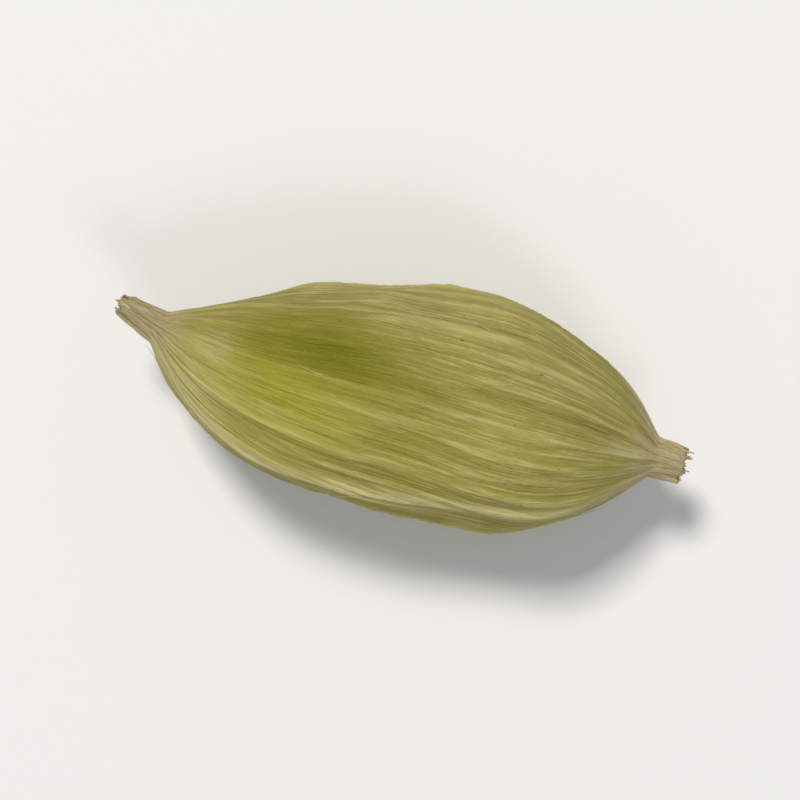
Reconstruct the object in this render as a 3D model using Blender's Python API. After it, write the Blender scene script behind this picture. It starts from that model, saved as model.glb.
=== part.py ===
"""A dried green cardamom pod, lying on its side on a small flat spot.

The pod grew in one piece, so it is one solid: a capsule of three swollen lobes with a groove between
each two, ribs from end to end, the dried beak of the flower at one end and the stalk stub at the other.

Metres, +Z up. +X points along the pod to the stalk, and the pod rests on the plane Z = 0.
Run: blender --background --python part.py
"""

import math

import bmesh
import bpy

MM = 0.001

# Capsule, from the root of the beak to the root of the stalk
CAPSULE_LENGTH = 14.4 * MM
CREST_RADIUS = 3.30 * MM  # from the axis to the crest of a lobe, where the pod is fullest
FULLEST_AT = 0.58  # share of the capsule's length, from the beak
BEAK_TAPER = (2.7, 0.76)  # towards the beak the profile is (1 - u ** first) ** second
STALK_TAPER = (2.6, 0.75)  # and towards the stalk

# Beak and stalk stub, on the two ends of the capsule
BEAK_LENGTH = 1.05 * MM
BEAK_RADIUS = 0.46 * MM
BEAK_NARROWING = 0.34  # how much thinner the tip is than the root, as for the stalk below
BEAK_PLEATS = 6
BEAK_PLEAT_DEPTH = 0.10
PLEAT_SPAN = (-0.5 * MM, 0.7 * MM)  # the pleats fade out over this stretch of the capsule's root
STALK_LENGTH = 0.80 * MM
STALK_RADIUS = 0.58 * MM
STALK_NARROWING = 0.16
STALK_FLUTES = 5
STALK_FLUTE_DEPTH = 0.06
FLUTE_SPAN = (-0.3 * MM, 0.3 * MM)  # and the flutes over this one, from the root of the stalk
END_RECESS = 0.12 * MM  # the torn ends are slightly hollow
SHOULDER_BLEND = 2.3  # lower makes a wider, softer shoulder between capsule and ends

# Lobes: each is a circle set off from the axis, and the three blend into one outline
LOBE_OFFSET = 0.26  # share of the crest radius
LOBE_SIZES = (1.0, 0.965, 0.985)
LOBE_BLEND = 30  # higher makes the line between two lobes sharper
LOBE_SPAN = ((0.0, 0.16), (0.88, 1.0))  # shares of the length where the lobes rise and fade

# A groove sinks in between the lobes, deepest near the beak: (share of the length, reach, depth)
GROOVE_DIPS = ((0.27, 0.16, 0.34 * MM), (0.60, 0.24, 0.08 * MM), (0.90, 0.09, 0.12 * MM))
GROOVE_DEPTHS = (1.0, 0.8, 0.6)
GROOVE_WIDTH = math.radians(13)
GROOVE_SPAN = ((0.0, 0.12), (0.93, 1.0))

# The first groove seen from above: its angle from the top towards +Y turns along the pod
GROOVE_ANGLE = math.radians(17)
GROOVE_TWIST = math.radians(13)
TWIST_REACH = 4.0 * MM

# Ribs follow the lobes, a little unevenly spaced and some stronger than others. Each wanders a
# little and swells and thins along its length, out of step with its neighbours by a set angle.
RIBS = 18
RIB_HEIGHT = 0.10 * MM
RIB_WIDTH = math.radians(4.2)
RIB_FADE = 0.5  # power of the capsule's radius that lowers the ribs at its ends
SPACING_VARIES = math.radians(3.2)
SPACING_STEP = 2.1
STRENGTH_VARIES = 0.25  # share of a rib's height
STRENGTH_STEP = 2.6
WANDER = math.radians(1.1)
WANDER_LENGTH = 2.6 * MM
WANDER_STEP = 2.4
SWELL = 0.28  # share of a rib's height
SWELL_LENGTH = 1.9 * MM
SWELL_STEP = 1.7

# The seam is a stronger rib along the -Y side that keeps its own angle from the top
SEAM_ANGLE = math.radians(-51)
SEAM_HEIGHT = 0.10 * MM
SEAM_WIDTH = math.radians(4.6)
SEAM_SPAN = ((0.04, 0.20), (0.82, 0.97))

# Bend of the axis: the beak turns towards +Y and a little up, the stalk end drifts towards -Y
BEND_PLACE = 2.6 * MM  # from the root of the beak into the capsule
BEND_REACH = 1.0 * MM  # how gently the axis turns there
BEND_ASIDE = math.radians(25.5)
BEND_UP = math.radians(6)
DRIFT_CURVE = 0.012 / MM

# Shallow hollows left by drying: (height, waves round, length of a wave, phase)
DENTS = (
    (0.045 * MM, 1, 8.6 * MM, 0.4),
    (0.045 * MM, 2, -6.1 * MM, 2.1),
    (0.040 * MM, 4, 5.2 * MM, 4.4),
    (0.030 * MM, 5, -3.9 * MM, 1.3),
)
DENT_FADE = 1.5

FLAT_DEPTH = 0.30 * MM  # how much of the underside the flat spot takes off

COLUMNS = 108  # round the pod, six for each rib
CAPSULE_RINGS = 33
BEAK_RINGS = 4
STALK_RINGS = 3
CAP_SHARES = (0.45, 0.86)  # rings on each torn end, as shares of its rim

SHARP_ANGLE = math.radians(50)

HUSK_COLOUR = (0.352, 0.319, 0.088, 1.0)
HUSK_ROUGHNESS = 0.62


def smooth_step(low, high, value):
    """0 below low, 1 above high, and a smooth change between them."""
    share = min(1.0, max(0.0, (value - low) / (high - low)))
    return share * share * (3.0 - 2.0 * share)


def within(span, share):
    """0 outside a span, 1 inside it, with its own smooth rise and fall at the two ends."""
    rise, fall = span
    return smooth_step(*rise, share) * (1.0 - smooth_step(*fall, share))


def capsule_radius(x):
    """Crest radius of the capsule alone: an egg that narrows more slowly to the beak than to the stalk."""
    share = x / CAPSULE_LENGTH
    if not 0.0 < share < 1.0:
        return 0.0
    if share < FULLEST_AT:
        away = 1.0 - share / FULLEST_AT
        power, fullness = BEAK_TAPER
    else:
        away = (share - FULLEST_AT) / (1.0 - FULLEST_AT)
        power, fullness = STALK_TAPER
    return CREST_RADIUS * (1.0 - away**power) ** fullness


def outer_radius(x):
    """Capsule, beak and stalk as one profile, with a soft shoulder where they meet."""
    beak = BEAK_RADIUS * (1.0 - BEAK_NARROWING * max(0.0, -x) / BEAK_LENGTH)
    stalk = STALK_RADIUS * (1.0 - STALK_NARROWING * max(0.0, x - CAPSULE_LENGTH) / STALK_LENGTH)
    end = beak if x < CAPSULE_LENGTH / 2 else stalk
    return (capsule_radius(x) ** SHOULDER_BLEND + end**SHOULDER_BLEND) ** (1 / SHOULDER_BLEND)


def lobed_share(angle, x):
    """Radius of the three-lobed outline as a share of the crest radius. Angle 0 is the first groove."""
    fade = within(LOBE_SPAN, x / CAPSULE_LENGTH)
    offset = LOBE_OFFSET * fade
    total = 0.0
    for index, size in enumerate(LOBE_SIZES):
        turn = angle - math.radians(60 + 120 * index)
        reach = offset * math.cos(turn) + math.sqrt((1.0 - offset) ** 2 - (offset * math.sin(turn)) ** 2)
        total += (reach * (1.0 + (size - 1.0) * fade)) ** LOBE_BLEND
    # Where the lobes end, the three circles are one, and their sum is brought back to its radius.
    level = 1.0 + (3.0 ** (1 / LOBE_BLEND) - 1.0) * (1.0 - fade)
    return total ** (1 / LOBE_BLEND) / level


def groove_depth(angle, x):
    """Depth of the valleys between the lobes."""
    share = x / CAPSULE_LENGTH
    along = sum(depth * math.exp(-(((share - place) / reach) ** 2)) for place, reach, depth in GROOVE_DIPS)
    across = sum(
        depth * math.exp(-((math.remainder(angle - math.radians(120 * index), math.tau) / GROOVE_WIDTH) ** 2))
        for index, depth in enumerate(GROOVE_DEPTHS)
    )
    return along * across * within(GROOVE_SPAN, share)


def rib_height(angle, x):
    """Height of the ribs, which run from end to end of the capsule."""
    height = 0.0
    for index in range(RIBS):
        middle = math.tau * (index + 0.5) / RIBS + SPACING_VARIES * math.sin(SPACING_STEP * index)
        wander = WANDER * math.sin(WANDER_STEP * index + x / WANDER_LENGTH)
        away = math.remainder(angle - middle - wander, math.tau)
        strength = 1.0 - STRENGTH_VARIES + STRENGTH_VARIES * math.sin(STRENGTH_STEP * index)
        swell = SWELL * math.sin(SWELL_STEP * index + x / SWELL_LENGTH)
        height += (strength - SWELL + swell) * math.exp(-((away / RIB_WIDTH) ** 2))
    return RIB_HEIGHT * height * (capsule_radius(x) / CREST_RADIUS) ** RIB_FADE


def seam_height(turn, x):
    """Height of the seam, which fades out before both ends."""
    away = math.remainder(turn - SEAM_ANGLE, math.tau)
    across = math.exp(-((away / SEAM_WIDTH) ** 2))
    return SEAM_HEIGHT * across * within(SEAM_SPAN, x / CAPSULE_LENGTH)


def dent_height(angle, x):
    """Sum of the hollows and swells of drying, which fade out with the capsule's radius."""
    wave = sum(
        height * math.sin(waves * angle + math.tau * x / length + phase)
        for height, waves, length, phase in DENTS
    )
    return wave * (capsule_radius(x) / CREST_RADIUS) ** DENT_FADE


def end_folds(angle, x):
    """Pleats of the papery beak and flutes of the stalk, as a factor on the radius."""
    at_beak = 1.0 - smooth_step(*PLEAT_SPAN, x)
    at_stalk = smooth_step(*FLUTE_SPAN, x - CAPSULE_LENGTH)
    pleats = BEAK_PLEAT_DEPTH * math.cos(BEAK_PLEATS * angle)
    flutes = STALK_FLUTE_DEPTH * math.cos(STALK_FLUTES * angle)
    return 1.0 + pleats * at_beak + flutes * at_stalk


def axis_point(x):
    """Middle of the pod at x: straight, but for the bend at the beak and the drift at the stalk."""
    bend = BEND_REACH * math.log(1.0 + math.exp((BEND_PLACE - x) / BEND_REACH))
    drift = max(0.0, x - FULLEST_AT * CAPSULE_LENGTH)
    return x, math.tan(BEND_ASIDE) * bend - DRIFT_CURVE * drift**2, math.tan(BEND_UP) * bend


def axis_slope(x):
    """Angle between the axis and +X, seen from above."""
    bent = 1.0 / (1.0 + math.exp((x - BEND_PLACE) / BEND_REACH))
    drift = max(0.0, x - FULLEST_AT * CAPSULE_LENGTH)
    return -math.atan(math.tan(BEND_ASIDE) * bent + 2.0 * DRIFT_CURVE * drift)


def groove_angle(x):
    """Angle of the first groove from the top towards +Y."""
    from_middle = x - CAPSULE_LENGTH / 2
    return GROOVE_ANGLE - GROOVE_TWIST * math.tanh(from_middle / TWIST_REACH)


def ring_stations():
    """(x, share of the radius) for each ring, from the middle of the beak's end to the stalk's."""
    beak_end = -BEAK_LENGTH
    stalk_end = CAPSULE_LENGTH + STALK_LENGTH
    caps = [(0.0, END_RECESS), *((share, END_RECESS * (1.0 - share)) for share in CAP_SHARES)]
    rings = [(beak_end + recess, share) for share, recess in caps]
    rings += [(beak_end + BEAK_LENGTH * index / BEAK_RINGS, 1.0) for index in range(BEAK_RINGS)]
    for index in range(CAPSULE_RINGS):
        turn = math.pi * index / (CAPSULE_RINGS - 1)
        rings.append((CAPSULE_LENGTH * (1.0 - math.cos(turn)) / 2, 1.0))
    rings += [
        (CAPSULE_LENGTH + STALK_LENGTH * index / STALK_RINGS, 1.0) for index in range(1, STALK_RINGS + 1)
    ]
    rings += [(stalk_end - recess, share) for share, recess in reversed(caps)]
    return rings


def skin_point(x, share, angle):
    """Point of the skin at a station. The angle starts at the first groove and turns with it."""
    turn = angle + groove_angle(x)
    radius = outer_radius(x) * lobed_share(angle, x) * end_folds(angle, x)
    radius += rib_height(angle, x) + seam_height(turn, x) + dent_height(angle, x) - groove_depth(angle, x)
    middle_x, middle_y, middle_z = axis_point(x)
    slope = axis_slope(x)
    aside = share * radius * math.sin(turn)
    return (
        middle_x - aside * math.sin(slope),
        middle_y + aside * math.cos(slope),
        middle_z + share * radius * math.cos(turn),
    )


def shape_pod(mesh):
    """Gives a unit sphere, whose poles are on Z, the pod's skin: each of its rings becomes one station."""
    stations = ring_stations()
    for vertex in mesh.verts:
        from_pole = math.acos(max(-1.0, min(1.0, vertex.co.z)))
        x, share = stations[round(from_pole / math.pi * (len(stations) - 1))]
        angle = math.atan2(vertex.co.y, vertex.co.x)
        vertex.co = skin_point(x, share, angle)


def set_down(mesh):
    """Puts the pod's middle over the origin and its underside, flattened by FLAT_DEPTH, on Z = 0."""
    lows = [min(vertex.co[axis] for vertex in mesh.verts) for axis in range(3)]
    highs = [max(vertex.co[axis] for vertex in mesh.verts) for axis in range(3)]
    for vertex in mesh.verts:
        vertex.co.x -= (lows[0] + highs[0]) / 2
        vertex.co.y -= (lows[1] + highs[1]) / 2
        vertex.co.z = max(0.0, vertex.co.z - lows[2] - FLAT_DEPTH)


def husk_material():
    """Matt, papery olive green."""
    material = bpy.data.materials.new("dried_husk")
    material.use_nodes = True
    shader = material.node_tree.nodes["Principled BSDF"]
    shader.inputs["Base Color"].default_value = HUSK_COLOUR
    shader.inputs["Roughness"].default_value = HUSK_ROUGHNESS
    shader.inputs["Metallic"].default_value = 0.0
    return material


def build_pod(collection):
    """The whole pod as one object."""
    shape = bmesh.new()
    bmesh.ops.create_uvsphere(
        shape, u_segments=COLUMNS, v_segments=len(ring_stations()) - 1, radius=1.0
    )
    shape_pod(shape)
    set_down(shape)
    mesh = bpy.data.meshes.new("cardamom_pod")
    shape.to_mesh(mesh)
    shape.free()
    mesh.shade_smooth()
    mesh.set_sharp_from_angle(angle=SHARP_ANGLE)
    mesh.materials.append(husk_material())
    pod = bpy.data.objects.new("cardamom_pod", mesh)
    collection.objects.link(pod)
    return pod


def main():
    for old in list(bpy.data.objects):
        bpy.data.objects.remove(old, do_unlink=True)
    collection = bpy.data.collections.new("green_cardamom_pod")
    bpy.context.scene.collection.children.link(collection)
    build_pod(collection)


main()
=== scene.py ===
"""A dried green cardamom pod on a pale studio floor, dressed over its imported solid.

The husk repeats the solid's own formula on a fine grid and adds the relief that drying leaves: fibres,
creases and a torn, hollow beak. Papery shreds, stalk fibres and a few lifted husk fibres are pieces of
their own. Lengths in the classes are millimetres, counted along the pod from the root of the beak,
because a pod is measured so. The frame and every mesh are in metres.
"""

import logging
import math
import random
from collections.abc import Callable
from dataclasses import dataclass, field
from enum import Enum

import bpy
import numpy as np
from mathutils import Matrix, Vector, noise


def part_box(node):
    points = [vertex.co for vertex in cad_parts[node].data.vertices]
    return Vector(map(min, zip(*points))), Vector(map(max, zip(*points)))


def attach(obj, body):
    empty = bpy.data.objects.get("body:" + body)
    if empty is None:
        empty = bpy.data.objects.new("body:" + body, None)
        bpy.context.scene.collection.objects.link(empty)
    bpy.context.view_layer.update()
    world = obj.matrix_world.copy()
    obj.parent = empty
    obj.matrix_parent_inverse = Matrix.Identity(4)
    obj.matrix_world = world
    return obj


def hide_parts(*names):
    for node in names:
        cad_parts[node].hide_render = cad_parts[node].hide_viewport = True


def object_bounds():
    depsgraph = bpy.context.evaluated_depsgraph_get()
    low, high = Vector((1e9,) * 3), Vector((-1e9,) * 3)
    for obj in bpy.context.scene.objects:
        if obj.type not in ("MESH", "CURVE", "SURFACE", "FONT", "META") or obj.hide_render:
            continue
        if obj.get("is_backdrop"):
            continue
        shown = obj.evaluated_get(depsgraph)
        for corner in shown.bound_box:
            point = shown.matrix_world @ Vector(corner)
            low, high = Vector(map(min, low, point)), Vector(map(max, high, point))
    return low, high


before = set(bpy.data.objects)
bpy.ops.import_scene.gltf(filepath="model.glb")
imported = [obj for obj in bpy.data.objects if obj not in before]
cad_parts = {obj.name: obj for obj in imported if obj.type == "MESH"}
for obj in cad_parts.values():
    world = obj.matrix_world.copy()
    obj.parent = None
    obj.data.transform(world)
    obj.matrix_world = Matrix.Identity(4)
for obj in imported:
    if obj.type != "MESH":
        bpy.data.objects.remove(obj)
CAD_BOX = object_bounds()

Array = np.ndarray
Colour = tuple[float, float, float, float]

NODE = "cardamom_pod"
BODY = "root"
MM = 0.001

# Sockets of a Mix node that mixes colours
MIX_FACTOR = 0
MIX_A = 6
MIX_B = 7
MIX_RESULT = 2

# The sRGB curve: a straight foot, and a power above the knee
SRGB_KNEE = 0.04045
SRGB_SLOPE = 12.92
SRGB_OFFSET = 0.055
SRGB_POWER = 2.4

THIRD = math.tau / 3  # the turn from one lobe to the next
FORM_SAMPLES = (360, 500)  # points round and along the plain form when its box is measured
ACROSS = (0.0, 0.31, 0.95)  # a direction that no fibre runs along

log = logging.getLogger("cardamom_pod")


class Mask(Enum):
    """What the husk's mesh knows about each of its points, from 0 to 1, for its colours to follow."""

    RIB = "rib"
    # painted shade in the valleys between the ribs and in the grooves, partly greener rind there
    HOLLOW_SHADE = "hollow"
    # painted shade: a deep olive patch over the groove near the beak, partly the green that is left there
    SHADE = "shade"
    # painted shade: greyer, darker olive on the upper side and by the stalk
    DULL_SHADE = "dull_shade"
    # the pale seam, partly a painted highlight along the lower edge, and the pale straw by the beak
    SEAM_AND_HIGHLIGHT = "seam"
    GREEN = "green"
    DRY = "dry"
    INSIDE = "inside"


PLACE = "fibre_place"  # the attribute that patterns follow: millimetres round and along the pod


def linear(code: str) -> Colour:
    """Turns an sRGB hex colour to linear.

    Args:
        code: six hex digits after a hash sign.

    Returns:
        Red, green and blue from 0 to 1, and alpha 1.
    """
    channels = [int(code[start : start + 2], 16) / 255 for start in (1, 3, 5)]
    red, green, blue = (
        value / SRGB_SLOPE
        if value <= SRGB_KNEE
        else ((value + SRGB_OFFSET) / (1.0 + SRGB_OFFSET)) ** SRGB_POWER
        for value in channels
    )
    return red, green, blue, 1.0


def smooth_step(low: float, high: float, value: Array) -> Array:
    """Changes smoothly from 0 below low to 1 above high.

    Args:
        low: where the change begins.
        high: where it ends.
        value: the numbers to place.

    Returns:
        A number from 0 to 1 for each value.
    """
    share = np.clip((value - low) / (high - low), 0.0, 1.0)
    return share * share * (3.0 - 2.0 * share)


def within(span: tuple, share: Array) -> Array:
    """Is 0 outside a span and 1 inside it.

    Args:
        span: the (low, high) of its rise and of its fall.
        share: the numbers to place.

    Returns:
        A number from 0 to 1 for each share.
    """
    rise, fall = span
    return smooth_step(*rise, share) * (1.0 - smooth_step(*fall, share))


def turn_between(angle: Array, other: Array | float) -> Array:
    """Returns the signed turn from other to angle, the shorter way round."""
    return np.remainder(angle - other + math.pi, math.tau) - math.pi


def bell(away: Array, reach: float) -> Array:
    """Returns a bell curve that is 1 at 0 and falls to 1/e at its reach."""
    return np.exp(-((away / reach) ** 2))


def peak(away: Array, reach: float) -> Array:
    """Returns a sharp crest that is 1 at 0 and falls to 1/e at its reach."""
    return np.exp(-np.abs(away / reach))


@dataclass(frozen=True)
class Ripple:
    """Noise for the mesh by the real size of its features, in millimetres across and along the fibres.

    The offset keeps one pattern from repeating another.
    """

    width: float
    length: float
    octaves: int = 2
    offset: float = 0.0
    fall: float = 0.9  # how fast finer octaves weaken
    step: float = 2.0  # how much finer each octave is

    def over(self, place: Array) -> Array:
        """Gives the noise at points.

        Args:
            place: points with x and y round the pod and z along it, in millimetres.

        Returns:
            About -1 to 1 for each point, in the shape of place without its last axis.
        """
        size = np.array((self.width, self.width, self.length))
        points = ((place + self.offset) / size).reshape(-1, 3).tolist()
        values = [noise.fractal(point, self.fall, self.step, self.octaves) for point in points]
        return np.array(values).reshape(place.shape[:-1])


def add_node(
    tree: bpy.types.NodeTree,
    kind: str,
    settings: dict | None = None,
    links: dict | None = None,
) -> bpy.types.Node:
    """Adds a node with its settings and links.

    Args:
        tree: the node tree that it goes into.
        kind: the node's type name.
        settings: values by the name of a property, or by the name or number of an input.
        links: output sockets by the name or number of the input that each feeds.

    Returns:
        The new node.
    """
    node = tree.nodes.new(kind)
    for key, value in (settings or {}).items():
        if isinstance(key, str) and hasattr(node, key):
            setattr(node, key, value)
        else:
            node.inputs[key].default_value = value
    for key, output in (links or {}).items():
        tree.links.new(output, node.inputs[key])
    return node


def new_material(name: str) -> tuple[bpy.types.Material, bpy.types.NodeTree]:
    """Makes a material with an empty node tree.

    Args:
        name: the material's name.

    Returns:
        The material and its tree.
    """
    material = bpy.data.materials.new(name)
    material.use_nodes = True
    material.node_tree.nodes.clear()
    return material, material.node_tree


def new_object(name: str, points: Array, faces: list) -> bpy.types.Object:
    """Makes a smooth-shaded mesh object from points in millimetres.

    Args:
        name: the object's name.
        points: one row for each vertex.
        faces: the vertex numbers of each face.

    Returns:
        The object, linked to the scene.
    """
    mesh = bpy.data.meshes.new(name)
    mesh.from_pydata((points * MM).tolist(), [], faces)
    mesh.shade_smooth()
    made = bpy.data.objects.new(name, mesh)
    bpy.context.scene.collection.objects.link(made)
    return made


def mark(piece: bpy.types.Object, found: dict[str, Array]) -> None:
    """Stores values on a piece's points, for its material to read.

    Args:
        piece: the piece.
        found: one number or one place for each point, by the attribute's name.
    """
    for name, values in found.items():
        kind, slot = ("FLOAT", "value") if values.ndim == 1 else ("FLOAT_VECTOR", "vector")
        attribute = piece.data.attributes.new(name, kind, "POINT")
        attribute.data.foreach_set(slot, values.astype(np.float32).ravel())


def declare(piece: bpy.types.Object) -> None:
    """Lets a piece ride on the part's body and stand for its node.

    Args:
        piece: the piece.
    """
    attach(piece, BODY)
    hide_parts(NODE)


def grid_faces(rows: int, columns: int, first: int, closed: bool) -> list:
    """Lists the four-sided faces of a grid of vertices.

    Args:
        rows: how many rows of vertices there are.
        columns: how many vertices a row has.
        first: number of the first vertex.
        closed: whether each row's last vertex joins its first.

    Returns:
        The vertex numbers of each face.
    """
    faces = []
    for row in range(rows - 1):
        low = first + row * columns
        high = low + columns
        for column in range(columns if closed else columns - 1):
            after = (column + 1) % columns
            faces.append((low + column, low + after, high + after, high + column))
    return faces


@dataclass(frozen=True)
class PodForm:
    """The pod's form, which is its solid's: a three-lobed, ribbed radius round a bent axis.

    Places along the pod count from the root of the beak. Angles count from the first groove, and a turn
    counts from the top towards +Y.
    """

    capsule_length: float = 14.4
    crest_radius: float = 3.30
    fullest_at: float = 0.58
    beak_taper: tuple[float, float] = (2.7, 0.76)
    stalk_taper: tuple[float, float] = (2.6, 0.75)
    beak_length: float = 1.05
    beak_radius: float = 0.46
    beak_narrowing: float = 0.34
    beak_pleats: int = 6
    beak_pleat_depth: float = 0.10
    pleat_span: tuple[float, float] = (-0.5, 0.7)
    stalk_length: float = 0.80
    stalk_radius: float = 0.58
    stalk_narrowing: float = 0.16
    stalk_flutes: int = 5
    stalk_flute_depth: float = 0.06
    flute_span: tuple[float, float] = (-0.3, 0.3)
    shoulder_blend: float = 2.3
    lobe_offset: float = 0.26
    lobe_sizes: tuple[float, ...] = (1.0, 0.965, 0.985)
    lobe_blend: float = 30.0
    lobe_span: tuple = ((0.0, 0.16), (0.88, 1.0))
    groove_dips: tuple = ((0.27, 0.16, 0.34), (0.60, 0.24, 0.08), (0.90, 0.09, 0.12))
    groove_depths: tuple[float, ...] = (1.0, 0.8, 0.6)
    groove_width: float = math.radians(13)
    groove_span: tuple = ((0.0, 0.12), (0.93, 1.0))
    groove_turn: float = math.radians(17)
    groove_twist: float = math.radians(13)
    twist_reach: float = 4.0
    ribs: int = 18
    rib_height: float = 0.10
    rib_width: float = math.radians(4.2)
    rib_fade: float = 0.5
    spacing_varies: float = math.radians(3.2)
    spacing_step: float = 2.1
    strength_varies: float = 0.25
    strength_step: float = 2.6
    wander: float = math.radians(1.1)
    wander_length: float = 2.6
    wander_step: float = 2.4
    swell: float = 0.28
    swell_length: float = 1.9
    swell_step: float = 1.7
    seam_turn: float = math.radians(-51)
    seam_height: float = 0.10
    seam_width: float = math.radians(4.6)
    seam_span: tuple = ((0.04, 0.20), (0.82, 0.97))
    bend_place: float = 2.6
    bend_reach: float = 1.0
    bend_aside: float = math.radians(25.5)
    bend_up: float = math.radians(6)
    drift_curve: float = 0.012
    dents: tuple = (
        (0.045, 1, 8.6, 0.4),
        (0.045, 2, -6.1, 2.1),
        (0.040, 4, 5.2, 4.4),
        (0.030, 5, -3.9, 1.3),
    )
    dent_fade: float = 1.5

    def capsule_radius(self, x: Array) -> Array:
        """Gives the crest radius of the capsule alone, an egg that is pointed at the beak.

        Args:
            x: places along the pod.

        Returns:
            The radius at each place, and 0 outside the capsule.
        """
        share = x / self.capsule_length
        to_beak = np.clip(1.0 - share / self.fullest_at, 0.0, 1.0)
        to_stalk = np.clip((share - self.fullest_at) / (1.0 - self.fullest_at), 0.0, 1.0)
        egg = (1.0 - to_beak ** self.beak_taper[0]) ** self.beak_taper[1]
        egg = egg * (1.0 - to_stalk ** self.stalk_taper[0]) ** self.stalk_taper[1]
        return self.crest_radius * egg

    def thinness(self, x: Array) -> Array:
        """Returns the capsule's radius as a share of its greatest."""
        return self.capsule_radius(x) / self.crest_radius

    def outer_radius(self, x: Array) -> Array:
        """Joins the capsule, beak and stalk in one profile with soft shoulders.

        Args:
            x: places along the pod.

        Returns:
            The crest radius at each place.
        """
        beak = self.beak_radius * (1.0 - self.beak_narrowing * np.maximum(0.0, -x) / self.beak_length)
        past = np.maximum(0.0, x - self.capsule_length) / self.stalk_length
        stalk = self.stalk_radius * (1.0 - self.stalk_narrowing * past)
        end = np.where(x < self.capsule_length / 2, beak, stalk)
        power = self.shoulder_blend
        return (self.capsule_radius(x) ** power + end**power) ** (1 / power)

    def lobed_share(self, angle: Array, x: Array) -> Array:
        """Gives the outline of three blended lobes.

        Args:
            angle: angles round the pod.
            x: places along the pod.

        Returns:
            The outline as a share of the crest radius.
        """
        fade = within(self.lobe_span, x / self.capsule_length)
        offset = self.lobe_offset * fade
        total = np.zeros(np.broadcast(angle, x).shape)
        for index, size in enumerate(self.lobe_sizes):
            turn = angle - THIRD * (index + 0.5)
            reach = offset * np.cos(turn) + np.sqrt((1.0 - offset) ** 2 - (offset * np.sin(turn)) ** 2)
            total = total + (reach * (1.0 + (size - 1.0) * fade)) ** self.lobe_blend
        level = 1.0 + (len(self.lobe_sizes) ** (1 / self.lobe_blend) - 1.0) * (1.0 - fade)
        return total ** (1 / self.lobe_blend) / level

    def groove_depth(self, angle: Array, x: Array) -> Array:
        """Gives the depth of the valleys between the lobes.

        Args:
            angle: angles round the pod.
            x: places along the pod.

        Returns:
            The depth at each point.
        """
        share = x / self.capsule_length
        along = sum(depth * bell(share - place, reach) for place, reach, depth in self.groove_dips)
        across = sum(
            depth * bell(turn_between(angle, THIRD * index), self.groove_width)
            for index, depth in enumerate(self.groove_depths)
        )
        return along * across * within(self.groove_span, share)

    def rib_angle(self, index: int) -> float:
        """Returns the angle of a rib's middle, before it wanders."""
        uneven = self.spacing_varies * math.sin(self.spacing_step * index)
        return math.tau * (index + 0.5) / self.ribs + uneven

    def ribs_by(self, angle: Array, x: Array, profile: Callable[[Array], Array]) -> Array:
        """Gives the height of the ribs for a profile across a rib.

        Args:
            angle: angles round the pod.
            x: places along the pod.
            profile: turns the signed angle from a rib's middle into a height, 1 at 0.

        Returns:
            0 between the ribs, and up to about 1 on them.
        """
        height = np.zeros(np.broadcast(angle, x).shape)
        for index in range(self.ribs):
            wander = self.wander * np.sin(self.wander_step * index + x / self.wander_length)
            away = turn_between(angle, self.rib_angle(index) + wander)
            strength = 1.0 + self.strength_varies * (math.sin(self.strength_step * index) - 1.0)
            swell = self.swell * np.sin(self.swell_step * index + x / self.swell_length)
            height = height + (strength - self.swell + swell) * profile(away)
        return height * self.thinness(x) ** self.rib_fade

    def rib_share(self, angle: Array, x: Array) -> Array:
        """Returns the height of the solid's ribs as a share of a full rib's."""
        return self.ribs_by(angle, x, lambda away: bell(away, self.rib_width))

    def seam_share(self, turn: Array, x: Array) -> Array:
        """Returns the height of the seam as a share of its greatest."""
        across = bell(turn_between(turn, self.seam_turn), self.seam_width)
        return across * within(self.seam_span, x / self.capsule_length)

    def dent_height(self, angle: Array, x: Array) -> Array:
        """Gives the sum of the broad hollows and swells of drying.

        Args:
            angle: angles round the pod.
            x: places along the pod.

        Returns:
            The height at each point.
        """
        wave = sum(
            height * np.sin(waves * angle + math.tau * x / length + phase)
            for height, waves, length, phase in self.dents
        )
        return wave * self.thinness(x) ** self.dent_fade

    def end_folds(self, angle: Array, x: Array) -> Array:
        """Gives the pleats of the beak and the flutes of the stalk.

        Args:
            angle: angles round the pod.
            x: places along the pod.

        Returns:
            A factor on the radius.
        """
        at_beak = 1.0 - smooth_step(*self.pleat_span, x)
        at_stalk = smooth_step(*self.flute_span, x - self.capsule_length)
        pleats = self.beak_pleat_depth * np.cos(self.beak_pleats * angle)
        flutes = self.stalk_flute_depth * np.cos(self.stalk_flutes * angle)
        return 1.0 + pleats * at_beak + flutes * at_stalk

    def groove_place(self, x: Array) -> Array:
        """Returns the turn of the first groove at each place."""
        twist = self.groove_twist * np.tanh((x - self.capsule_length / 2) / self.twist_reach)
        return self.groove_turn - twist

    def radius(self, angle: Array, x: Array) -> Array:
        """Adds up the solid's radius.

        Args:
            angle: angles round the pod.
            x: places along the pod.

        Returns:
            The distance of the skin from the axis.
        """
        turn = angle + self.groove_place(x)
        smooth = self.outer_radius(x) * self.lobed_share(angle, x) * self.end_folds(angle, x)
        raised = self.rib_height * self.rib_share(angle, x) + self.seam_height * self.seam_share(turn, x)
        return smooth + raised + self.dent_height(angle, x) - self.groove_depth(angle, x)

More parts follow.
